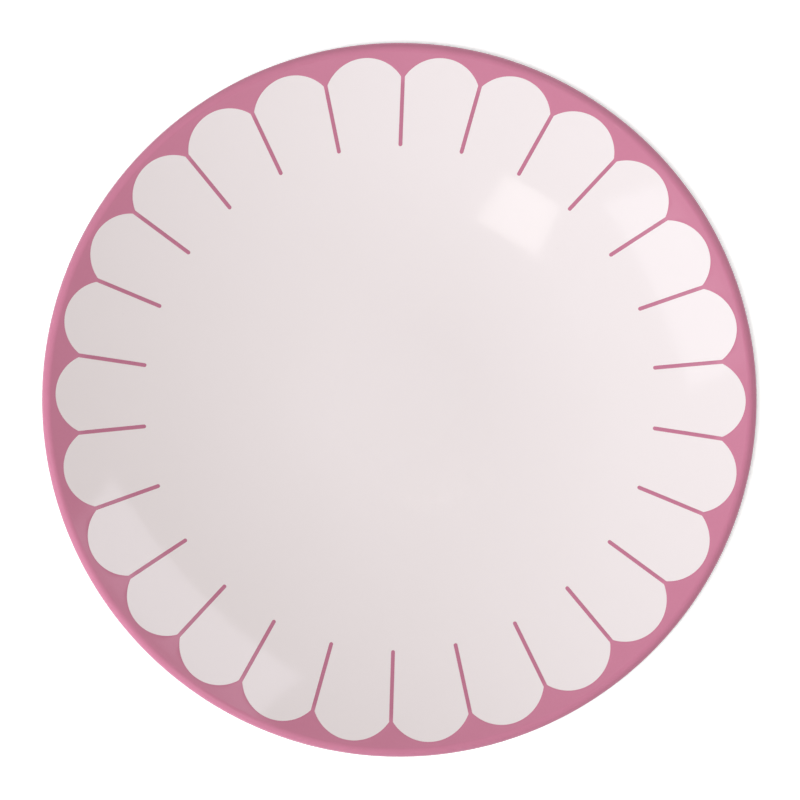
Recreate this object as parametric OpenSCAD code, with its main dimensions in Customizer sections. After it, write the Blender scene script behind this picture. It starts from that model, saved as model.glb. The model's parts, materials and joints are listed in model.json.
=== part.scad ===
// Coupe dessert plate of glazed porcelain, with a border of petals printed round its lip.
// The origin is on the table, at the middle of the foot ring, with +Z up.

/* [Plate] */
// Diameter over the coloured lip
plate_d = 210; // [185:1:235]
// Height from the table to the top of the lip
plate_h = 27; // [24:0.5:34]
// Radius of the level middle of the dish
level_r = 22; // [14:1:34]

/* [Wall] */
// Thickness of the floor in the middle, with its glaze
floor_t = 4.4; // [3.8:0.1:5.6]
// Thickness of the lip, with its glaze
lip_t = 3.4; // [2.8:0.1:4]
// Thickness of the fired glaze
glaze_t = 0.4; // [0.3:0.05:0.6]

/* [Foot] */
// Outer diameter of the foot ring where it stands on the table
foot_d = 118; // [104:1:134]
// Width of the foot ring where it stands on the table
foot_w = 3.6; // [3:0.1:5]
// Angle that each side of the foot ring leans, in degrees
foot_draft = 8; // [2:1:14]
// Bevel along both edges of the bare ground face
foot_bevel = 0.5; // [0.3:0.1:0.8]
// Radius of the cove between the foot ring and the underside
cove_r = 2.6; // [1.6:0.1:3.4]
// Height of the floor's underside over the table, in the middle
recess_h = 2.4; // [1.8:0.1:3.4]
// Height over the table up to which the foot ring is wiped clean of glaze
wiped_h = 0.9; // [0.6:0.1:1.2]

/* [Border] */
// Number of petals, and of the ribs between them
petals = 26; // [20:1:32]
// Width of the colour outside the top of each petal
top_w = 3.9; // [3.6:0.1:6]
// Width of the colour at the ribs, where two petals meet
cusp_w = 10.9; // [8:0.1:13]
// Width of a rib
rib_w = 1.15; // [0.8:0.05:1.6]
// Distance from the edge of the plate to the round inner end of a rib
rib_reach = 30.2; // [22:0.1:38]
// Angle that the ribs lean clockwise on their way outward, in degrees
rib_lean = 1; // [-3:0.1:3]
// Thickness of the fired colour
colour_t = 0.2; // [0.18:0.01:0.3]
// Angle that the lip band reaches under the widest point of the lip, in degrees
band_under = 42; // [20:1:55]
// Heading of the first rib's outer end, in degrees from +X
first_rib = 89.26; // [80:0.01:100]
// Wander of the hand-laid print round the plate: its one, two and three wave parts, in degrees
wander = [0.63, 0.39, 0.17]; // [0:0.01:1]
// Headings at which those waves are highest, in degrees from +X
wander_at = [31.1, -26, -35.6]; // [-180:0.1:180]
// How far the petals stray outward: the one, two, three and four wave parts
petal_stray = [0.09, 0.18, 0.18, 0.22]; // [0:0.01:0.25]
// Headings at which those waves are highest, in degrees from +X
petal_stray_at = [68, -6, 8, -17]; // [-180:1:180]
// How far the ribs' inner ends stray outward: the one, two and three wave parts
rib_stray = [0.14, 0.47, 0.2]; // [0:0.01:0.6]
// Headings at which those waves are highest, in degrees from +X
rib_stray_at = [118, 10, 3]; // [-180:1:180]

/* [Hidden] */
$fn = 180;

// Straight chords that each arc of the half section is drawn with
dish_chords = 20;
lip_chords = 14;
tuck_chords = 2;
under_chords = 10;
cove_chords = 6;

// Round lip: its centre in the half section, where x is the radius
lip_r = lip_t / 2;
lip_c = [plate_d / 2 - colour_t - lip_r, plate_h - colour_t - lip_r];

// Dish: one arc, level where it leaves the middle and tangent to the lip
level_z = recess_h + floor_t;
dish_run = lip_c.x - level_r;
dish_rise = lip_c.y - level_z;
dish_r = (dish_run ^ 2 + dish_rise ^ 2 - lip_r ^ 2) / (2 * (dish_rise + lip_r));
dish_c = [level_r, level_z + dish_r];
dish_slope = asin(dish_run / (dish_r + lip_r));

// Underside: an arc about a lower centre, so that the wall thins from the floor to the lip
under_drop = (floor_t - lip_t) * (2 * dish_r + floor_t)
    / (2 * (dish_r + floor_t - lip_r - (dish_r + lip_r) * cos(dish_slope)));
under_r = dish_r + floor_t - under_drop;
under_c = dish_c - [0, under_drop];
under_slope = heading(lip_c - under_c) + 90;

// Border: radii of the petals' tops, of the cusps between them and of the ribs' inner ends
pitch = 360 / petals;
top_r = plate_d / 2 - top_w;
cusp_r = plate_d / 2 - cusp_w;
rib_end_r = plate_d / 2 - rib_reach + rib_w / 2;

function aim(a) = [cos(a), sin(a)];
function heading(v) = atan2(v.y, v.x);
function reversed(line) = [for (i = [len(line) - 1 : -1 : 0]) line[i]];

// Points on an arc about c from heading a0 to a1, without the ones before number first
function arc(c, r, a0, a1, chords, first) =
    [for (i = [first : chords]) c + r * aim(a0 + (a1 - a0) * i / chords)];

// Sides of the foot ring, where side is 1 for the outer one and -1 for the inner one
function side_up(side) = [side * sin(foot_draft), cos(foot_draft)];
function side_out(side) = [side * cos(foot_draft), -sin(foot_draft)];
function side_foot(side) = [foot_d / 2 - (side > 0 ? 0 : foot_w), 0];
function side_point(side, z, depth) =
    side_foot(side) + side_up(side) * z / cos(foot_draft) - [side * depth / cos(foot_draft), 0];

// A cove's centre is cove_r from its side of the foot ring and cove_r from the underside
function cove_c(side) =
    let (
        start = side_foot(side) + cove_r * side_out(side),
        gap = start - under_c,
        along = gap * side_up(side)
    )
    start - side_up(side) * (along + sqrt(along ^ 2 - gap * gap + (under_r + cove_r) ^ 2));
function cove_a(side) = heading(cove_c(side) - under_c);

// Lines of the half section, each with depth taken off the surface that it follows
function dish_line(depth, first) = arc(dish_c, dish_r + depth, -90, dish_slope - 90, dish_chords, first);
function lip_line(depth, first) = arc(lip_c, lip_r - depth, dish_slope + 90, -band_under, lip_chords, first);
function tuck_line(depth) = arc(lip_c, lip_r - depth, -band_under, under_slope - 90, tuck_chords, 1);
function wall_line(depth) = arc(under_c, under_r - depth, under_slope - 90, cove_a(1), under_chords, 1);
function base_line(depth) = arc(under_c, under_r - depth, -90, cove_a(-1), under_chords, 0);
function cove_line(side, depth) = arc(
    cove_c(side), cove_r + depth, cove_a(side) + 180, 90 + side * (90 - foot_draft), cove_chords, 1);

// From the middle of the dish, over the lip and down to the outer side of the foot ring
function upper_line(depth) = concat(
    [[0, level_z - depth]],
    dish_line(depth, 0),
    lip_line(depth, 1),
    tuck_line(depth),
    wall_line(depth),
    cove_line(1, depth)
);

// From the middle of the base to the inner side of the foot ring
function lower_line(depth) = concat([[0, recess_h + depth]], base_line(depth), cove_line(-1, depth));

// Bare bottom of the foot ring, from its outer side to its inner one
function ground_line(depth) = [
    side_point(1, foot_bevel, depth),
    side_point(1, 0, depth) - [foot_bevel, 0],
    side_point(-1, 0, depth) + [foot_bevel, 0],
    side_point(-1, foot_bevel, depth)
];

// Sum of waves round the plate at heading a: part k has k waves, a size and a heading where it is highest
function waves(sizes, headings, a) =
    sizes * [for (k = [1 : len(sizes)]) cos(k * (a - headings[k - 1]))];

// Heading of the outer end of rib i, counted clockwise from the first one
function even_rib(i) = first_rib - i * pitch;
function rib_a(i) = even_rib(i) + waves(wander, wander_at, even_rib(i));

// The petal between rib i and the next one: its heading, half its angle and its round top's centre
function petal_a(i) = (rib_a(i) + rib_a(i + 1)) / 2;
function petal_half(i) = (rib_a(i) - rib_a(i + 1)) / 2;
function petal_c(i) = (top_r ^ 2 - cusp_r ^ 2) / (2 * (top_r - cusp_r * cos(petal_half(i))));

// First chord of the dish that the ribs reach, however far inward their ends stray
border_in_r = rib_end_r - rib_w - rib_stray * [for (size = rib_stray) 1];
border_first = floor(dish_chords * asin((border_in_r - level_r) / dish_r) / dish_slope);

// A rib in plan with its cusp at the origin, reaching inward by its length and outward into the colour
module rib_plan(length) {
    translate([-length, -rib_w / 2])
        square([length + top_r - cusp_r, rib_w]);
    translate([-length, 0])
        circle(rib_w / 2);
}

// The border in plan: all that is coloured, from the ribs' inner ends outward
module border_plan() {
    difference() {
        circle(plate_d / 2);
        circle(petal_c(0));
        for (i = [0 : petals - 1])
            rotate(petal_a(i))
                translate([petal_c(i) + waves(petal_stray, petal_stray_at, petal_a(i)), 0])
                    circle(top_r - petal_c(i));
    }
    for (i = [0 : petals - 1])
        rotate(rib_a(i))
            translate([cusp_r, 0])
                rotate(-rib_lean)
                    rib_plan(cusp_r - rib_end_r - waves(rib_stray, rib_stray_at, rib_a(i)));
}

// Fired porcelain with its foot ring
module body() {
    color("#efe9e2")
        rotate_extrude()
            polygon(concat(upper_line(glaze_t), ground_line(glaze_t), reversed(lower_line(glaze_t))));
}

// Glaze over the dish, round the lip and down the underside to the outside of the foot ring
module glaze() {
    color("#f3ecec")
        rotate_extrude()
            polygon(concat(
                upper_line(0),
                [side_point(1, wiped_h, 0), side_point(1, wiped_h, glaze_t)],
                reversed(upper_line(glaze_t))
            ));
}

// Glaze on the base, inside the foot ring
module base_glaze() {
    color("#ece6e4")
        rotate_extrude()
            polygon(concat(
                lower_line(0),
                [side_point(-1, wiped_h, 0), side_point(-1, wiped_h, glaze_t)],
                reversed(lower_line(glaze_t))
            ));
}

// The printed border lies on the dish and ends where the lip starts to turn over
module scallop_border() {
    color("#c9809c")
        intersection() {
            linear_extrude(plate_h)
                border_plan();
            rotate_extrude()
                polygon(concat(dish_line(-colour_t, border_first), reversed(dish_line(0, border_first))));
        }
}

// The band brushed over the lip, from the printed border to under its widest point
module lip_band() {
    color("#c17595")
        rotate_extrude()
            polygon(concat(lip_line(-colour_t, 0), reversed(lip_line(0, 0))));
}

body();
glaze();
base_glaze();
scallop_border();
lip_band();
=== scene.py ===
import json
import math

import bmesh
import bpy
import numpy as np
from mathutils import Matrix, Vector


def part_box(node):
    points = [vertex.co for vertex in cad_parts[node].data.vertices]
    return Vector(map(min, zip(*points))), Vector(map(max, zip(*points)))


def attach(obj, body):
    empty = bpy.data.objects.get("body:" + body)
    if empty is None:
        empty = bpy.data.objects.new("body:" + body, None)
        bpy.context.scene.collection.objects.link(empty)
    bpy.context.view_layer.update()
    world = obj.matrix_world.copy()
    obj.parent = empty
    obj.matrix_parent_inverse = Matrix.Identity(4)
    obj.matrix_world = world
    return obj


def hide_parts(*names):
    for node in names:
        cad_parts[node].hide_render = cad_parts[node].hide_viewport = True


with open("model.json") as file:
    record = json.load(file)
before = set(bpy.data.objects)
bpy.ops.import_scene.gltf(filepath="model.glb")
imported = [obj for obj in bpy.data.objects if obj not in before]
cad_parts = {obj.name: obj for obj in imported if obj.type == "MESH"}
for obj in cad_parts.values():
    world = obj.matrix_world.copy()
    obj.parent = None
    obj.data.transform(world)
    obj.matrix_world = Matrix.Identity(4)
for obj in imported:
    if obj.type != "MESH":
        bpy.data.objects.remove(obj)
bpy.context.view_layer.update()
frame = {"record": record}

# Coupe dessert plate of glazed porcelain with a border of printed petals. Metres, +Z up, foot on z = 0.

mounts = {mount["name"]: mount["pos_m"] for mount in frame["record"]["mounts"]}
bandLow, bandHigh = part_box("lip_band")
glazeLow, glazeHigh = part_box("glaze")

rimRadius = min(bandHigh.x, bandHigh.y, -bandLow.x, -bandLow.y)
rimHeight = bandHigh.z
colourThickness = bandHigh.z - glazeHigh.z
levelHeight = mounts["dish_middle"][2]
footMiddle = mounts["foot_face"][0]
wipedHeight = glazeLow.z
print("frame read: rim radius", round(rimRadius, 5), "height", round(rimHeight, 5))

# The half section, beside what the frame gives
plate = {
    "levelRadius": 0.022,        # level middle of the dish
    "floorThickness": 0.0044,
    "lipThickness": 0.0034,
    "glazeThickness": 0.0004,
    "printThickness": 0.00005,   # the colour stands this much proud of the glaze
    "sunk": 0.00003,             # and reaches this far into it
    "bandUnder": 42,             # degrees that the lip band reaches under the widest point
    "headings": 480,             # columns of a turned surface
}

foot = {
    "width": 0.0036,
    "draft": 8,                  # degrees that each side leans
    "bevel": 0.0005,
    "wornReach": 1.6,            # how far the worn edges reach along both faces, in bevels
    "coveRadius": 0.0026,
    "recessHeight": 0.0024,
    "rollHeight": 0.0013,        # how far up the edge of the wiped glaze is thickened
    "rollDepth": 0.00007,
    "rollTaper": 1.3,            # at 1 the roll dies out at the wiped edge, above it stays fuller there
}
footRadius = footMiddle + foot["width"] / 2

# Chords of each stretch of a turned line: dish, lip, tuck, wall and cove, or base and cove
chords = {
    "glazeUpper": (46, 22, 3, 24, 8),
    "bodyUpper": (22, 10, 2, 12, 6),
    "glazeLower": (16, 10),
    "bodyLower": (8, 6),
    "levelMiddle": 3,
    "wipedRoll": 6,
    "wipedEdge": 6,
    "wornEdge": 8,
}


# Meshes

def addPiece(name, points, faces, sharpAngle=35, weldDistance=2e-7):
    # Makes one closed mesh. faces is a list of index arrays, with a row of corners for each face.
    mesh = bpy.data.meshes.new(name)
    corners = np.concatenate([part.ravel() for part in faces]).astype(np.int32)
    sizes = np.concatenate([np.full(len(part), part.shape[1], np.int32) for part in faces])
    mesh.vertices.add(len(points))
    mesh.vertices.foreach_set("co", np.ascontiguousarray(points, np.float32).ravel())
    mesh.loops.add(len(corners))
    mesh.loops.foreach_set("vertex_index", corners)
    mesh.polygons.add(len(sizes))
    mesh.polygons.foreach_set("loop_start", np.concatenate([[0], np.cumsum(sizes)[:-1]]).astype(np.int32))
    mesh.update(calc_edges=True)
    shell = bmesh.new()
    shell.from_mesh(mesh)
    bmesh.ops.remove_doubles(shell, verts=shell.verts, dist=weldDistance)
    bmesh.ops.recalc_face_normals(shell, faces=shell.faces)
    shell.to_mesh(mesh)
    shell.free()
    piece = bpy.data.objects.new(name, mesh)
    bpy.context.scene.collection.objects.link(piece)
    bpy.context.view_layer.objects.active = piece
    piece.select_set(True)
    bpy.ops.object.shade_smooth_by_angle(angle=math.radians(sharpAngle))
    piece.select_set(False)
    print("made", name, len(mesh.vertices), "points", len(mesh.polygons), "faces")
    return piece


def gridQuads(rows, columns, wrapRows=False, wrapColumns=False):
    # Quads between neighbours of a grid whose point (i, j) has index i * columns + j
    i = np.arange(rows if wrapRows else rows - 1)[:, None]
    j = np.arange(columns if wrapColumns else columns - 1)[None, :]
    nextI, nextJ = (i + 1) % rows, (j + 1) % columns
    corners = [i * columns + j, nextI * columns + j, nextI * columns + nextJ, i * columns + nextJ]
    return np.stack(corners, axis=-1).reshape(-1, 4)


def turned(profile, headings):
    # Point (r, z) of the profile goes to (r cos a, r sin a, z) for every heading a.
    # The profile is one line for all headings, or an array with a line for each.
    a = np.arange(headings)[:, None] * 2 * math.pi / headings
    r, z = (np.broadcast_to(profile, (headings,) + profile.shape[-2:])[..., k] for k in (0, 1))
    return np.stack([r * np.cos(a), r * np.sin(a), z], axis=-1)


def turnedPiece(name, profile, wrapProfile):
    # The profile either has both its ends on the axis or, where wrapProfile is true, runs round to its start
    points = turned(profile, plate["headings"])
    faces = gridQuads(points.shape[0], points.shape[1], wrapRows=True, wrapColumns=wrapProfile)
    return addPiece(name, points.reshape(-1, 3), [faces])


# Half section

def aim(degrees):
    # Unit vector or vectors at an angle from +X
    a = np.radians(degrees)
    return np.stack([np.cos(a), np.sin(a)], axis=-1)


def heading(vector):
    # Angle of a vector from +X, in degrees
    return math.degrees(math.atan2(vector[1], vector[0]))


def arcLine(centre, radius, start, end, count, first=0):
    # centre + radius * (cos a, sin a), where a runs evenly from start to end
    a = start + (end - start) * np.arange(first, count + 1) / count
    return centre + radius * aim(a)


def levelLine(z):
    # Points at height z from the axis to just before the end of the level middle
    count = chords["levelMiddle"]
    r = plate["levelRadius"] * np.arange(count) / count
    return np.stack([r, np.full(count, z)], axis=-1)


class HalfSection:
    # The dish is an arc that leaves the level middle level and is tangent to the lip's circle.
    # The underside is an arc about a lower centre, tangent to the same circle.
    def __init__(self, lipRadius):
        self.lipRadius = lipRadius
        inset = colourThickness + plate["lipThickness"] / 2
        self.lipCentre = np.array([rimRadius - inset, rimHeight - inset])
        run = self.lipCentre[0] - plate["levelRadius"]
        rise = self.lipCentre[1] - levelHeight
        self.dishRadius = (run**2 + rise**2 - lipRadius**2) / (2 * (rise + lipRadius))
        self.dishCentre = np.array([plate["levelRadius"], levelHeight + self.dishRadius])
        self.slope = math.degrees(math.asin(run / (self.dishRadius + lipRadius)))
        floor = plate["floorThickness"]
        reach = (self.dishRadius + lipRadius) * math.cos(math.radians(self.slope))
        drop = (floor - 2 * lipRadius) * (2 * self.dishRadius + floor)
        drop /= 2 * (self.dishRadius + floor - lipRadius - reach)
        self.underRadius = self.dishRadius + floor - drop
        self.underCentre = self.dishCentre - (0, drop)
        self.underSlope = heading(self.lipCentre - self.underCentre) + 90
        self.coves = {side: self.cove(side) for side in (1, -1)}

    def cove(self, side):
        # Centre of the circle that touches a side of the foot ring and the underside
        start = footEnd(side) + foot["coveRadius"] * footOut(side)
        gap = start - self.underCentre
        along = gap @ footUp(side)
        reach = self.underRadius + foot["coveRadius"]
        centre = start - footUp(side) * (along + math.sqrt(along**2 - gap @ gap + reach**2))
        return centre, heading(centre - self.underCentre)

    def upperLine(self, depth, counts):
        # From the middle of the dish, over the lip and down to the foot ring, depth under the surface
        dish, lip, tuck, wall, cove = counts
        slope, under = self.slope, plate["bandUnder"]
        coveCentre, coveHeading = self.coves[1]
        return np.concatenate([
            levelLine(levelHeight - depth),
            arcLine(self.dishCentre, self.dishRadius + depth, -90, slope - 90, dish),
            arcLine(self.lipCentre, self.lipRadius - depth, slope + 90, -under, lip, 1),
            arcLine(self.lipCentre, self.lipRadius - depth, -under, self.underSlope - 90, tuck, 1),
            arcLine(self.underCentre, self.underRadius - depth, self.underSlope - 90, coveHeading, wall, 1),
            arcLine(coveCentre, foot["coveRadius"] + depth, coveHeading + 180, 180 - foot["draft"], cove, 1)
        ])

    def lowerLine(self, depth, counts):
        # From the middle of the base to the inner side of the foot ring, depth under the surface
        base, cove = counts
        coveCentre, coveHeading = self.coves[-1]
        return np.concatenate([
            levelLine(foot["recessHeight"] + depth),
            arcLine(self.underCentre, self.underRadius - depth, -90, coveHeading, base),
            arcLine(coveCentre, foot["coveRadius"] + depth, coveHeading + 180, foot["draft"], cove, 1)
        ])


# Sides of the foot ring, where side is 1 for the outer one and -1 for the inner one

def footUp(side):
    # Unit vector up along the side, which leans away from the ring by the draft
    draft = math.radians(foot["draft"])
    return np.array([side * math.sin(draft), math.cos(draft)])


def footOut(side):
    # Unit vector square to the side, away from the ring
    draft = math.radians(foot["draft"])
    return np.array([side * math.cos(draft), -math.sin(draft)])


def footEnd(side):
    # Where a side of the ring would meet the table, were its edge not worn
    return np.array([footRadius - (0 if side > 0 else foot["width"]), 0])


def footPoint(side, z, depth):
    # Point on a side of the ring at height z, depth under its glaze
    along = footUp(side) * z - np.array([side * depth, 0])
    return footEnd(side) + along / math.cos(math.radians(foot["draft"]))


def bend(start, corner, end, count):
    # A smooth turn from start to end that leaves and arrives along the lines to the corner
    t = np.linspace(0, 1, count + 1)[:, None]
    return (1 - t)**2 * start + 2 * t * (1 - t) * corner + t**2 * end


def wipedEdge(side):
    # Where the glaze ends on the foot ring: it thickens a little into a roll, then rounds over to the body
    t = np.linspace(0, 1, chords["wipedRoll"] + 1)[:, None]
    z = wipedHeight + foot["rollHeight"] * (1 - t) + plate["glazeThickness"] * t
    swell = foot["rollDepth"] * np.sin(math.pi * np.sqrt(t) / foot["rollTaper"])**2
    roll = footPoint(side, z, 0) + swell * footOut(side)
    corner = footPoint(side, wipedHeight, 0)
    end = footPoint(side, wipedHeight, plate["glazeThickness"])
    return np.concatenate([roll, bend(roll[-1], corner, end, chords["wipedEdge"])[1:]])


def groundLine(depth):
    # Bare bottom of the foot ring from its outer to its inner side, its two edges worn round
    reach = foot["wornReach"] * foot["bevel"]
    lines = []
    for side in (1, -1):
        corner = footPoint(side, 0, depth)
        high = footPoint(side, reach, depth)
        low = corner - side * np.array([reach, 0])
        lines.append(bend(high, corner, low, chords["wornEdge"])[::side])
    return np.concatenate(lines)


bodySection = HalfSection(plate["lipThickness"] / 2)
glazeSection = HalfSection(plate["lipThickness"] / 2 + colourThickness - plate["printThickness"])
innerLine = bodySection.upperLine(plate["glazeThickness"], chords["bodyUpper"])
baseLine = bodySection.lowerLine(plate["glazeThickness"], chords["bodyLower"])

bodyPiece = turnedPiece("fired_body", np.concatenate([
    innerLine,
    groundLine(plate["glazeThickness"]),
    baseLine[::-1],
]), False)

glazePiece = turnedPiece("clear_glaze", np.concatenate([
    glazeSection.upperLine(0, chords["glazeUpper"]),
    wipedEdge(1),
    innerLine[::-1],
]), False)

baseGlazePiece = turnedPiece("base_glaze_coat", np.concatenate([
    bodySection.lowerLine(0, chords["glazeLower"]),
    wipedEdge(-1),
    baseLine[::-1],
]), False)
print("body and glaze turned")


# Printed border

border = {
    "petals": 26,
    "topWidth": 0.0039,          # colour outside the top of each petal
    "cuspWidth": 0.0109,         # colour at the ribs
    "ribWidth": 0.00115,
    "ribReach": 0.0302,          # from the edge of the plate to the inner end of a rib
    "ribLean": 1.0,              # degrees that the ribs lean clockwise on their way outward
    "fillet": 0.0006,            # radius of the petal's corner where its rib meets its round top
    "firstRib": 89.26,           # heading of the first rib's outer end, in degrees
    "roundWidth": 0.00012,       # how far in from its outline the print reaches its full height
    "roundShares": (0, 0.12, 0.4, 1),        # columns over that width, as shares of it
    "innerShares": (0.25, 0.5, 0.75, 1),     # and over what is left
    "edgeTolerance": 0.0002,     # how near the edge of the print a point counts as on it
    # A hand-laid print strays a little. Each pair of lists has the sizes of one wave, two waves and so on
    # round the plate, then the headings in degrees at which they are highest.
    "wander": (0.63, 0.39, 0.17, 0.07, 0.06),                # sideways, in degrees
    "wanderAt": (31.1, -26, -35.6, 43, -13),
    "leanStray": (0.44, 0.6, 0.17),                          # in the lean, in degrees
    "leanStrayAt": (136, -41, -12),
    "ribStray": (0.00014, 0.00047, 0.0002, 0.00008, 0.00007),    # outward, at the ribs' inner ends
    "ribStrayAt": (118, 10, 3, -18, 8),
    "petalStray": (0.00009, 0.00018, 0.00018, 0.00022, 0.00017, 0.00006),    # outward, at the petals
    "petalStrayAt": (68, -6, 8, -17, 4, 27),
}

# Chords of a petal's outline: half the rib's round end, the rib's side, the fillet, then the petal's arc up
# to the ray through the outer end of its rib's middle line, and on to its top
outlineChords = (6, 12, 6, 8, 16)
pitch = 360 / border["petals"]
topRadius = rimRadius - border["topWidth"]
cuspRadius = rimRadius - border["cuspWidth"]
ribHalf = border["ribWidth"] / 2
ribEndRadius = rimRadius - border["ribReach"] + ribHalf
printEdge = glazeSection.dishCentre[0]
printEdge += glazeSection.dishRadius * math.sin(math.radians(glazeSection.slope))


def waves(sizes, headings, a):
    # Sum of size * cos(k * (a - heading)), where k counts the waves round the plate
    pairs = enumerate(zip(sizes, headings), 1)
    return sum(size * np.cos(np.radians(k * (a - at))) for k, (size, at) in pairs)


def ribHeading(i):
    # Heading of rib i's outer end, counted clockwise: its even place and the print's wander there
    even = border["firstRib"] - i * pitch
    return even + waves(border["wander"], border["wanderAt"], even)


def petalArc(half):
    # Centre distance and radius of the petal's round top, which passes its top and its two cusps
    centre = (topRadius**2 - cuspRadius**2) / (2 * (topRadius - cuspRadius * np.cos(np.radians(half))))
    return centre, topRadius - centre


def petalCorner(half):
    # Fillet tangent to the rib's side and to the petal's arc: its centre, its two tangent points
    # and how far out on the rib the first one lies
    centre, radius = petalArc(half)
    rib, inward = aim(half), aim(half - 90)
    start = (ribHalf + border["fillet"]) * inward - (centre, 0)
    along = rib @ start
    reach = -along + math.sqrt(along**2 - start @ start + (radius - border["fillet"])**2)
    middle = reach * rib + (ribHalf + border["fillet"]) * inward
    outward = (middle - (centre, 0)) / np.linalg.norm(middle - (centre, 0))
    return middle, reach * rib + ribHalf * inward, (centre, 0) + radius * outward, reach


def petalStrip(half):
    # Outline of the colour from a rib's inner end to the top of the petal, and its partner line on the
    # rib's middle and the outer circle. Stations on the rib don't depend on the petal, so neighbours meet.
    tip, side, fillet, flank, top = outlineChords
    centre, radius = petalArc(half)
    evenCentre = petalArc(pitch / 2)[0]
    middle, first, last, reach = petalCorner(half)
    evenLast, evenReach = petalCorner(pitch / 2)[2:]
    rib, inward = aim(half), aim(half - 90)
    ribTip = ribEndRadius * rib
    tipArc = arcLine(ribTip, ribHalf, half - 180, half - 90, tip)
    sideSteps = np.linspace(0, 1, side + 1)[1:, None]
    sideLine = ribTip + ribHalf * inward + sideSteps * (reach - ribEndRadius) * rib
    turnStart, turnEnd = heading(first - middle), heading(last - middle)
    turnStart += 360 if turnStart < turnEnd - 180 else 0
    filletArc = arcLine(middle, border["fillet"], turnStart, turnEnd, fillet, 1)
    flankStart = heading(last - (centre, 0))
    evenFlankStart = heading(evenLast - (evenCentre, 0))
    cornerAngle = heading(printEdge * rib - (centre, 0))
    evenCorner = heading(printEdge * aim(pitch / 2) - (evenCentre, 0))
    flankArc = arcLine(np.array([centre, 0]), radius, flankStart, cornerAngle, flank, 1)
    topArc = arcLine(np.array([centre, 0]), radius, cornerAngle, 0, top, 1)

    def station(angle):
        # Where a ray from the even petal's centre meets the rib's middle
        return evenCentre * np.sin(np.radians(angle)) / np.sin(np.radians(angle - pitch / 2))

    flankAngles = evenFlankStart + (evenCorner - evenFlankStart) * np.arange(1, flank + 1) / flank
    onRib = np.concatenate([
        np.full(tip + 1, ribEndRadius),
        ribEndRadius + sideSteps[:, 0] * (evenReach - ribEndRadius),
        np.linspace(evenReach, station(evenFlankStart), fillet + 1)[1:],
        station(flankAngles),
    ])[:, None] * rib
    rays = aim(cornerAngle * (1 - np.arange(1, top + 1) / top))
    lengths = -centre * rays[:, :1] + np.sqrt(printEdge**2 - (centre * rays[:, 1:])**2)
    onEdge = (centre, 0) + lengths * rays
    return (np.concatenate([tipArc, sideLine, filletArc, flankArc, topArc]),
            np.concatenate([onRib, onEdge]))


def strayed(plan):
    # A point's heading grows by lean * (cuspRadius / r - 1), which turns a straight radial line about its
    # cusp. Its radius grows by the ribs' stray at their inner ends, changing to the petals' stray at the
    # cusps and fading from the petals' tops to none at the edge of the print.
    r = np.linalg.norm(plan, axis=-1)
    a = np.degrees(np.arctan2(plan[..., 1], plan[..., 0]))
    onRib = np.clip((cuspRadius - r) / (cuspRadius - ribEndRadius), 0, 1)
    kept = np.clip((printEdge - r) / (printEdge - topRadius), 0, 1)
    outward = onRib * waves(border["ribStray"], border["ribStrayAt"], a)
    outward += (1 - onRib) * kept * waves(border["petalStray"], border["petalStrayAt"], a)
    lean = border["ribLean"] + waves(border["leanStray"], border["leanStrayAt"], a)
    return (r + outward)[..., None] * aim(a + lean * (cuspRadius / r - 1))


def lifted(plan, height):
    # A point of the plan goes onto the dish, then along the dish's normal by its height
    r = np.linalg.norm(plan, axis=-1)
    sine = (r - glazeSection.dishCentre[0]) / glazeSection.dishRadius
    cosine = np.sqrt(1 - sine**2)
    out = plan / r[..., None]
    z = glazeSection.dishCentre[1] - glazeSection.dishRadius * cosine
    flat = plan - out * (sine * height)[..., None]
    return np.concatenate([flat, (z + cosine * height)[..., None]], axis=-1)


def petalPatch(i):
    # Upper and under skin of the colour from rib i to the next one, each a grid of points: a row for each
    # point of the outline, with columns across the colour from there to the partner line.
    start, end = ribHeading(i), ribHeading(i + 1)
    outline, partner = petalStrip((start - end) / 2)
    mirrored = [line[::-1][1:] * (1, -1) for line in (outline, partner)]
    outline, partner = (np.concatenate(pair) for pair in zip((outline, partner), mirrored))
    axis = aim((start + end) / 2)
    across = np.array([-axis[1], axis[0]])
    outline, partner = (line[:, :1] * axis + line[:, 1:] * across for line in (outline, partner))
    # Columns at fixed widths where the edge rounds over, then even shares of what is left
    span = np.linalg.norm(partner - outline, axis=-1, keepdims=True)
    near = border["roundWidth"] * np.array([border["roundShares"]])
    far = near[:, -1:] + (span - near[:, -1:]) * np.array([border["innerShares"]])
    width = np.concatenate([np.broadcast_to(near, (len(span), near.shape[1])), far], axis=1)
    plan = strayed(outline[:, None] + (partner - outline)[:, None] * (width / span)[..., None])
    rise = np.clip(width / border["roundWidth"], 0, 1)
    height = plate["printThickness"] * np.sqrt(1 - (1 - rise)**2)
    return lifted(plan, height), lifted(plan, np.full_like(height, -plate["sunk"]))


def borderPiece(name):
    # The patches of all petals side by side, which meet on the ribs' middles, as one closed piece
    top, under = np.moveaxis(np.array([petalPatch(i) for i in range(border["petals"])]), 1, 0)
    petals, rows, columns = top.shape[:3]
    size = rows * columns
    quads = gridQuads(rows, columns)
    offsets = (np.arange(petals) * size)[:, None, None]
    skin = (offsets + quads).reshape(-1, 4)
    total = petals * size
    # Walls join the two skins along the outline and along the outer circle
    j = np.arange(rows - 1)
    inner = np.stack([j * columns, (j + 1) * columns], axis=-1)
    onCircle = np.linalg.norm(top[0][:, -1, :2], axis=-1) > printEdge - border["edgeTolerance"]
    k = j[onCircle[:-1] & onCircle[1:]]
    outer = np.stack([(k + 1) * columns + columns - 1, k * columns + columns - 1], axis=-1)
    edges = (offsets + np.concatenate([inner, outer])).reshape(-1, 2)
    walls = np.concatenate([edges, edges[:, ::-1] + total], axis=1)
    points = np.concatenate([top.reshape(-1, 3), under.reshape(-1, 3)])
    return addPiece(name, points, [skin, skin[:, ::-1] + total, walls])


printPiece = borderPiece("petal_print")
print("border printed")


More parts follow.
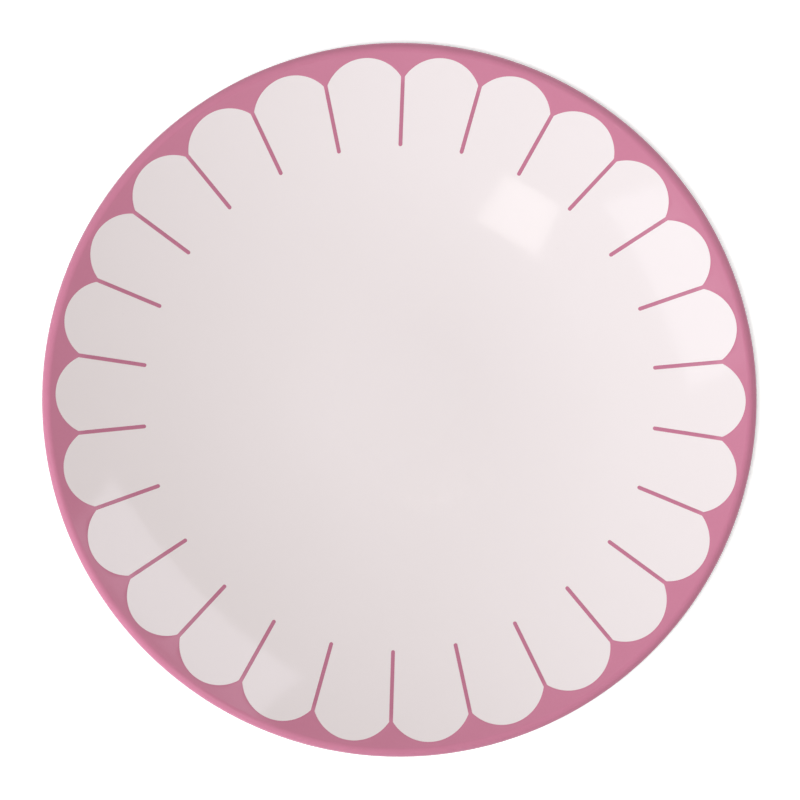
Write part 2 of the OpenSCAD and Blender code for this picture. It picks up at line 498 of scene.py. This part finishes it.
# Band brushed over the lip

band = {
    "chords": 26,
    "roundWidth": 0.00025,       # how far from its lower edge the colour reaches its full height
    "roundShares": (1, 0.55, 0.25, 0.07, 0),     # rows over that width, as shares of it
    "sway": (1.6, 0.9, 0.6),     # degrees that the lower edge sways up and down, as a brush leaves it
    "swayWaves": (5, 13, 31),
    "swayAt": (12.0, 40.0, 7.0),
}


def bandPiece(name):
    # Circle round the lip from the end of the print to a lower edge whose angle sways with the heading
    a = np.arange(plate["headings"])[:, None] * 360 / plate["headings"]
    sway = sum(s * np.cos(np.radians(k * (a - at)))
               for s, k, at in zip(band["sway"], band["swayWaves"], band["swayAt"]))
    start = glazeSection.slope + 90
    end = -plate["bandUnder"] + sway
    roundAngle = math.degrees(band["roundWidth"] / glazeSection.lipRadius)
    near = roundAngle * np.array([band["roundShares"]])
    share = np.linspace(0, 1, band["chords"] + 1)[None, :-1]
    angle = np.concatenate([start + (end + near[:, :1] - start) * share, end + near], axis=1)
    rise = np.clip((angle - end) / roundAngle, 0, 1)
    height = plate["printThickness"] * np.sqrt(1 - (1 - rise)**2)
    outer = glazeSection.lipCentre + (glazeSection.lipRadius + height)[..., None] * aim(angle)
    innerAngle = angle[:, ::-1]
    inner = glazeSection.lipCentre + (glazeSection.lipRadius - plate["sunk"]) * aim(innerAngle)
    return turnedPiece(name, np.concatenate([outer, inner], axis=1), True)


lipPiece = bandPiece("lip_colour")
print("lip banded")


# Materials

class Wire:
    # One output socket; arithmetic on it adds Math nodes to its shader
    def __init__(self, shader, socket):
        self.shader = shader
        self.socket = socket

    def maths(self, operation, *values, clamp=False):
        settings = {"operation": operation, "use_clamp": clamp}
        return self.shader.node("ShaderNodeMath", settings, dict(enumerate(values)))

    def __add__(self, other):
        return self.maths("ADD", self, other)

    def __radd__(self, other):
        return self.maths("ADD", other, self)

    def __sub__(self, other):
        return self.maths("SUBTRACT", self, other)

    def __rsub__(self, other):
        return self.maths("SUBTRACT", other, self)

    def __mul__(self, other):
        return self.maths("MULTIPLY", self, other)

    def __rmul__(self, other):
        return self.maths("MULTIPLY", other, self)

    def clamped(self):
        return self.maths("ADD", self, 0.0, clamp=True)


class Shader:
    # A node tree of a material, a world or a lamp
    def __init__(self, owner):
        owner.use_nodes = True
        self.tree = owner.node_tree
        self.tree.nodes.clear()

    def node(self, kind, settings, inputs, output=0):
        # Makes a node, applies its settings, then fills or links its inputs by name or number
        made = self.tree.nodes.new(kind)
        for key, value in settings.items():
            setattr(made, key, value)
        for key, value in inputs.items():
            if isinstance(value, Wire):
                self.tree.links.new(value.socket, made.inputs[key])
            else:
                made.inputs[key].default_value = value
        return Wire(self, made.outputs[output] if len(made.outputs) else None)

    def place(self):
        return self.node("ShaderNodeTexCoord", {}, {}, "Object")

    def vector(self, operation, inputs, output=0):
        return self.node("ShaderNodeVectorMath", {"operation": operation}, inputs, output)

    def noise(self, where, scale, detail, roughness=0.5):
        inputs = {"Vector": where, "Scale": scale, "Detail": detail, "Roughness": roughness}
        return self.node("ShaderNodeTexNoise", {}, inputs, 0)

    def fade(self, value, start, end, atStart, atEnd):
        # atStart up to start, atEnd from end on, and straight between them
        inputs = {"Value": value, "From Min": start, "From Max": end, "To Min": atStart, "To Max": atEnd}
        return self.node("ShaderNodeMapRange", {}, inputs)

    def blend(self, factor, first, second):
        inputs = {0: factor, 6: first, 7: second}
        return self.node("ShaderNodeMix", {"data_type": "RGBA"}, inputs, 2)

    def bump(self, height, distance, strength=1.0, normal=None):
        inputs = {"Height": height, "Strength": strength, "Distance": distance}
        if normal is not None:
            inputs["Normal"] = normal
        return self.node("ShaderNodeBump", {}, inputs, 0)

    def finish(self, colour, roughness, normal, ior):
        inputs = {"Base Color": colour, "Roughness": roughness, "Normal": normal, "IOR": ior}
        surface = self.node("ShaderNodeBsdfPrincipled", {}, inputs)
        self.node("ShaderNodeOutputMaterial", {}, {"Surface": surface})


def newShader(name):
    material = bpy.data.materials.new(name)
    return material, Shader(material)


# In every look, a pattern's size is its noise scale, in steps per metre, and its depth a bump's, in metres
glazeLook = {
    "white": (0.885, 0.848, 0.843, 1),
    "warmWhite": (0.872, 0.836, 0.822, 1),   # where the coat is a little thinner
    "cloudSize": 28.0,           # slow changes in the coat
    "fineSize": 252.0,
    "fineShare": 0.2,            # share of the finer changes in them
    "speck": (0.60, 0.55, 0.50, 1),          # fine iron specks under the coat, few and faint
    "speckSize": 220.0,          # cells per metre, of which some hold a speck
    "speckShare": 0.35,          # how many of them do
    "speckRadii": (0.0128, 0.032),           # its full core and its faded edge, as shares of a cell
    "speckDepth": 0.4,           # how much of the speck's colour shows through the coat
    "roughness": (0.055, 0.095),
    "roughSize": 84.0,
    "waveSize": 95.0,
    "waveDepth": 0.000012,
    "peelSize": 620.0,
    "peelDepth": 0.0000012,
    "ior": 1.5,
}


def whiteGlaze():
    # Clear white coat: slow warm clouds, few faint specks, a slow ripple and a fine orange peel
    look = glazeLook
    material, shader = newShader("white_glaze")
    where = shader.place()
    cloud = shader.noise(where, look["cloudSize"], detail=3.0)
    fine = shader.noise(where, look["fineSize"], detail=2.0)
    share = (cloud * (1 - look["fineShare"]) + fine * look["fineShare"]).clamped()
    colour = shader.blend(share, look["white"], look["warmWhite"])
    cell = {"Vector": where, "Scale": look["speckSize"]}
    distance = shader.node("ShaderNodeTexVoronoi", {}, cell, "Distance")
    cellColour = shader.node("ShaderNodeTexVoronoi", {}, cell, "Color")
    draw = shader.node("ShaderNodeSeparateColor", {}, {0: cellColour}, 0)
    core, edge = look["speckRadii"]
    near = shader.fade(distance, core, edge, 1.0, 0.0)
    held = draw.maths("LESS_THAN", draw, look["speckShare"])
    colour = shader.blend(near * held * look["speckDepth"], colour, look["speck"])
    low, high = look["roughness"]
    roughness = low + (high - low) * shader.noise(where, look["roughSize"], detail=4.0)
    wave = shader.bump(shader.noise(where, look["waveSize"], detail=1.0), look["waveDepth"])
    peel = shader.bump(shader.noise(where, look["peelSize"], detail=1.0), look["peelDepth"], normal=wave)
    shader.finish(colour, roughness, peel, look["ior"])
    return material


colourLook = {
    "pink": (0.626, 0.233, 0.347, 1),
    "deepPink": (0.582, 0.205, 0.311, 1),
    "ribPink": (0.536, 0.183, 0.284, 1),     # thin strokes take the colour a little stronger
    "bandPink": (0.624, 0.223, 0.341, 1),
    "deepBandPink": (0.580, 0.197, 0.306, 1),
    "paleBandPink": (0.680, 0.290, 0.410, 1),
    "grainSize": 1500.0,
    "grainShare": 0.35,          # share of the grain in the print's changes of colour
    "grainDepth": 0.000002,
    "cloudSize": 70.0,
    "ribFade": (-0.0016, 0.0004),            # the ribs' colour fades out between these, past the cusps
    "ribStrength": (0.8, 1.2),   # how much of it shows, with the grain
    "streakSize": (26.0, 900.0),             # along the rim and across it
    "streakShare": 0.7,          # share of the streaks in the band's changes of colour
    "streakDepth": 0.000004,
    "paleFade": (-0.8, -0.3),    # the pale edge fades out between these, in lip radii over the lip's middle
    "paleShare": 0.8,            # how much of it shows at most
    "roughness": (0.07, 0.12),
    "ior": 1.42,                 # fired colour shines a little less than the glaze
}


def pinkPrint():
    # Even screened colour, with a fine grain and slow clouds of slightly deeper colour, deeper on the ribs
    look = colourLook
    material, shader = newShader("pink_print")
    where = shader.place()
    grain = shader.noise(where, look["grainSize"], detail=1.0)
    cloud = shader.noise(where, look["cloudSize"], detail=3.0)
    share = (grain * look["grainShare"] + cloud * (1 - look["grainShare"])).clamped()
    colour = shader.blend(share, look["pink"], look["deepPink"])
    flat = shader.vector("MULTIPLY", {0: where, 1: (1, 1, 0)})
    radius = shader.vector("LENGTH", {0: flat}, 1)
    start, end = look["ribFade"]
    onRib = shader.fade(radius, cuspRadius + start, cuspRadius + end, 1.0, 0.0)
    low, high = look["ribStrength"]
    colour = shader.blend(onRib * (low + (high - low) * grain), colour, look["ribPink"])
    low, high = look["roughness"]
    normal = shader.bump(grain, look["grainDepth"])
    shader.finish(colour, low + (high - low) * cloud, normal, look["ior"])
    return material


def pinkBand():
    # Brushed colour: streaks that run round the rim, and a thinner, paler lower edge
    look = colourLook
    material, shader = newShader("pink_band")
    where = shader.place()
    flat = shader.vector("MULTIPLY", {0: where, 1: (1, 1, 0)})
    around = shader.vector("NORMALIZE", {0: flat})
    along, over = look["streakSize"]
    around = shader.vector("SCALE", {0: around, "Scale": along})
    height = shader.vector("MULTIPLY", {0: where, 1: (0, 0, over)})
    path = shader.vector("ADD", {0: around, 1: height})
    streak = shader.noise(path, 1.0, detail=2.0)
    grain = shader.noise(where, look["grainSize"], detail=1.0)
    share = (streak * look["streakShare"] + grain * (1 - look["streakShare"])).clamped()
    colour = shader.blend(share, look["bandPink"], look["deepBandPink"])
    z = shader.node("ShaderNodeSeparateXYZ", {}, {0: where}, 2)
    start, end = (glazeSection.lipCentre[1] + reach * glazeSection.lipRadius for reach in look["paleFade"])
    thin = shader.fade(z, start, end, look["paleShare"], 0.0)
    colour = shader.blend(thin * streak, colour, look["paleBandPink"])
    low, high = look["roughness"]
    normal = shader.bump(streak, look["streakDepth"])
    shader.finish(colour, low + (high - low) * streak, normal, look["ior"])
    return material


bisqueLook = {
    "bisque": (0.80, 0.745, 0.68, 1),
    "darkBisque": (0.66, 0.60, 0.53, 1),
    "grainSize": 2600.0,
    "grainDepth": 0.00004,
    "grainStrength": 0.8,
    "rubbed": (0.52, 0.50, 0.48, 1),         # grey marks of shelves and tables on the ground face
    "rubSize": 420.0,
    "rubHeight": 0.00018,        # how far up from the table they reach
    "rubContrast": 3.0,          # marks show where this times the noise is over the level
    "rubLevel": 1.3,
    "rubStrength": 0.6,
    "roughness": (0.82, 0.62),   # of the bare grain, and where it is rubbed
    "ior": 1.5,
}


def bareBisque():
    # Matt fired porcelain: a sharp fine grain, and grey rub marks where it stands on the table
    look = bisqueLook
    material, shader = newShader("bare_bisque")
    where = shader.place()
    grain = shader.noise(where, look["grainSize"], detail=4.0, roughness=0.65)
    colour = shader.blend(grain, look["bisque"], look["darkBisque"])
    z = shader.node("ShaderNodeSeparateXYZ", {}, {0: where}, 2)
    onFace = shader.fade(z, 0.0, look["rubHeight"], 1.0, 0.0)
    rub = shader.noise(where, look["rubSize"], detail=3.0)
    marks = onFace * (rub * look["rubContrast"] - look["rubLevel"]).clamped()
    colour = shader.blend(marks * look["rubStrength"], colour, look["rubbed"])
    bare, rubbed = look["roughness"]
    normal = shader.bump(grain, look["grainDepth"], look["grainStrength"])
    shader.finish(colour, bare - (bare - rubbed) * marks, normal, look["ior"])
    return material


glazeMaterial = whiteGlaze()
pieces = [
    (bodyPiece, "body", "bisque", bareBisque()),
    (glazePiece, "glaze", "white_glaze", glazeMaterial),
    (baseGlazePiece, "base_glaze", "white_glaze", glazeMaterial),
    (printPiece, "scallop_border", "pink_print", pinkPrint()),
    (lipPiece, "lip_band", "pink_band", pinkBand()),
]
for piece, node, slot, material in pieces:
    piece.data.materials.append(material)
    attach(piece, "root")
    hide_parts(node)
print("pieces finished")


# Studio

studio = {
    "floorSize": 8.0,
    "floorDrop": 0.00004,        # keeps the floor just under the foot
    "floorColour": (0.8, 0.8, 0.8, 1),
    "seenColour": (1.45, 1.53, 1.51, 1),     # as the camera sees it: white where lit, so the shadow shows
    "seenGlow": 0.06,            # and this much white added to it
    "whiteFrom": 0.19,           # past this distance from the plate's middle the seen floor fades to white
    "whiteAt": 0.5,
    "ambient": 0.29,             # strength of the light from all round, where the camera sees a white of 1
    "ambientTint": (1.0, 0.905, 0.935, 1),
    "seenTint": (1, 1, 1, 1),
}

# Each lamp lies in a plane that faces the plate from an azimuth and a zenith angle, in degrees. Its span is
# how far it reaches in that plane to the sides, up and down, as shares of its distance.
lamps = {
    "overhead": {"azimuth": 120, "zenith": 2.3, "distance": 1.85, "span": (-0.041, 0.041, -0.041, 0.041),
                 "radiance": 180, "tint": (1, 0.967, 0.933), "reflected": False},
    "key": {"azimuth": 210, "zenith": 72, "distance": 1.2, "span": (-0.25, 0.25, -0.2, 0.2),
            "radiance": 9.4, "tint": (0.945, 0.93, 1), "reflected": False},
    "window": {"azimuth": 240, "zenith": 29.5, "distance": 1.2, "span": (-0.057, 0.072, -0.143, 0.036),
               "radiance": 2.22, "tint": (1, 0.967, 0.947), "reflected": True},
    "leftPanel": {"azimuth": 205, "zenith": 40, "distance": 1.2, "span": (-0.205, 0.241, -0.077, 0.155),
                  "radiance": 1.24, "tint": (0.92, 0.93, 1), "reflected": True},
    "rightPanel": {"azimuth": 45, "zenith": 40, "distance": 1.2, "span": (-0.378, 0.242, -0.1, 0.125),
                   "radiance": 1.6, "tint": (0.92, 0.876, 1), "reflected": True},
}


def addLamp(name, look):
    # A rectangle in that plane, whose power grows with its area so that its brightness stays as written
    turn, lean = math.radians(look["azimuth"]), math.radians(look["zenith"])
    toward = np.array([math.sin(lean) * math.cos(turn), math.sin(lean) * math.sin(turn), math.cos(lean)])
    side = np.array([-math.sin(turn), math.cos(turn), 0])
    down = np.cross(side, toward)
    distance = look["distance"]
    left, right, up, low = look["span"]
    centre = distance * (toward + side * (left + right) / 2 + down * (up + low) / 2)
    data = bpy.data.lights.new(name, "AREA")
    data.shape = "RECTANGLE"
    data.size, data.size_y = distance * (right - left), distance * (low - up)
    data.energy = look["radiance"] * math.pi * data.size * data.size_y
    data.color = look["tint"]
    lamp = bpy.data.objects.new(name, data)
    axes = np.stack([side, -down, toward], axis=-1)
    lamp.matrix_world = Matrix.Translation(centre) @ Matrix(axes.tolist()).to_4x4()
    lamp.visible_camera = False
    lamp.visible_glossy = look["reflected"]
    bpy.context.scene.collection.objects.link(lamp)


for name, look in lamps.items():
    addLamp(name, look)


def seenRays(shader):
    # 1 for rays from the camera, from a gloss or through glass, which see the white studio
    names = ("Is Camera Ray", "Is Glossy Ray", "Is Transmission Ray")
    straight, glossy, through = (shader.node("ShaderNodeLightPath", {}, {}, name) for name in names)
    return (straight + glossy + through).clamped()


world = bpy.data.worlds.new("studio")
bpy.context.scene.world = world
shader = Shader(world)
seen = seenRays(shader)
glow = studio["ambient"] + (1 - studio["ambient"]) * seen
tint = shader.blend(seen, studio["ambientTint"], studio["seenTint"])
light = shader.node("ShaderNodeBackground", {}, {"Color": tint, "Strength": glow})
shader.node("ShaderNodeOutputWorld", {}, {"Surface": light})

half = studio["floorSize"] / 2
corners = half * np.array([[-1, -1, 0], [1, -1, 0], [1, 1, 0], [-1, 1, 0]])
floorMesh = bpy.data.meshes.new("floor")
floorMesh.from_pydata((corners - (0, 0, studio["floorDrop"])).tolist(), [], [(0, 1, 2, 3)])
floor = bpy.data.objects.new("floor", floorMesh)
bpy.context.scene.collection.objects.link(floor)
floorMaterial, shader = newShader("pale_floor")
lit = shader.node("ShaderNodeBsdfDiffuse", {}, {"Color": studio["floorColour"]})
shown = shader.node("ShaderNodeBsdfDiffuse", {}, {"Color": studio["seenColour"]})
glowing = shader.node("ShaderNodeEmission", {}, {"Strength": studio["seenGlow"]})
shown = shader.node("ShaderNodeAddShader", {}, {0: shown, 1: glowing})
away = shader.vector("LENGTH", {0: shader.place()}, 1)
fade = shader.fade(away, studio["whiteFrom"], studio["whiteAt"], 0.0, 1.0)
white = shader.node("ShaderNodeEmission", {}, {"Strength": 1.0})
shown = shader.node("ShaderNodeMixShader", {}, {0: fade, 1: shown, 2: white})
surface = shader.node("ShaderNodeMixShader", {}, {0: seenRays(shader), 1: lit, 2: shown})
shader.node("ShaderNodeOutputMaterial", {}, {"Surface": surface})
floor.data.materials.append(floorMaterial)
print("studio lit")


# Camera, straight above with its lens leaning a little from the back and the left

camera = {
    "distance": 2.5,
    "leanBack": 2.4,             # degrees from the vertical towards +Y
    "leanLeft": 0.7,             # and towards -X
    "picture": 800,              # pixels along its sides
    "rimPixels": 357.46,         # radius of the plate's outline in it
    "rimPlace": (399.52, 400.39),            # middle of that outline, from the upper left
    "sensor": 36.0,              # millimetres
}


def addCamera():
    # The lens gives the plate's outline its size in the picture, and the target beside the lip's middle
    # gives it its place
    left, back = math.radians(camera["leanLeft"]), math.radians(camera["leanBack"])
    toward = np.array([-math.sin(left), math.sin(back), 1])
    toward /= np.linalg.norm(toward)
    up = np.array([0, 1, 0]) - toward * toward[1]
    up /= np.linalg.norm(up)
    right = np.cross(up, toward)
    middle = camera["picture"] / 2
    perPixel = rimRadius / camera["rimPixels"]
    offset = right * (middle - camera["rimPlace"][0]) + up * (camera["rimPlace"][1] - middle)
    target = np.array([0, 0, glazeSection.lipCentre[1]]) + offset * perPixel
    data = bpy.data.cameras.new("camera")
    data.sensor_width = camera["sensor"]
    data.lens = camera["sensor"] * camera["distance"] / (camera["picture"] * perPixel)
    seat = bpy.data.objects.new("camera", data)
    axes = np.stack([right, up, toward], axis=-1)
    stand = target + toward * camera["distance"]
    seat.matrix_world = Matrix.Translation(stand) @ Matrix(axes.tolist()).to_4x4()
    bpy.context.scene.collection.objects.link(seat)
    bpy.context.scene.camera = seat


addCamera()
bpy.context.scene.view_settings.view_transform = "Standard"
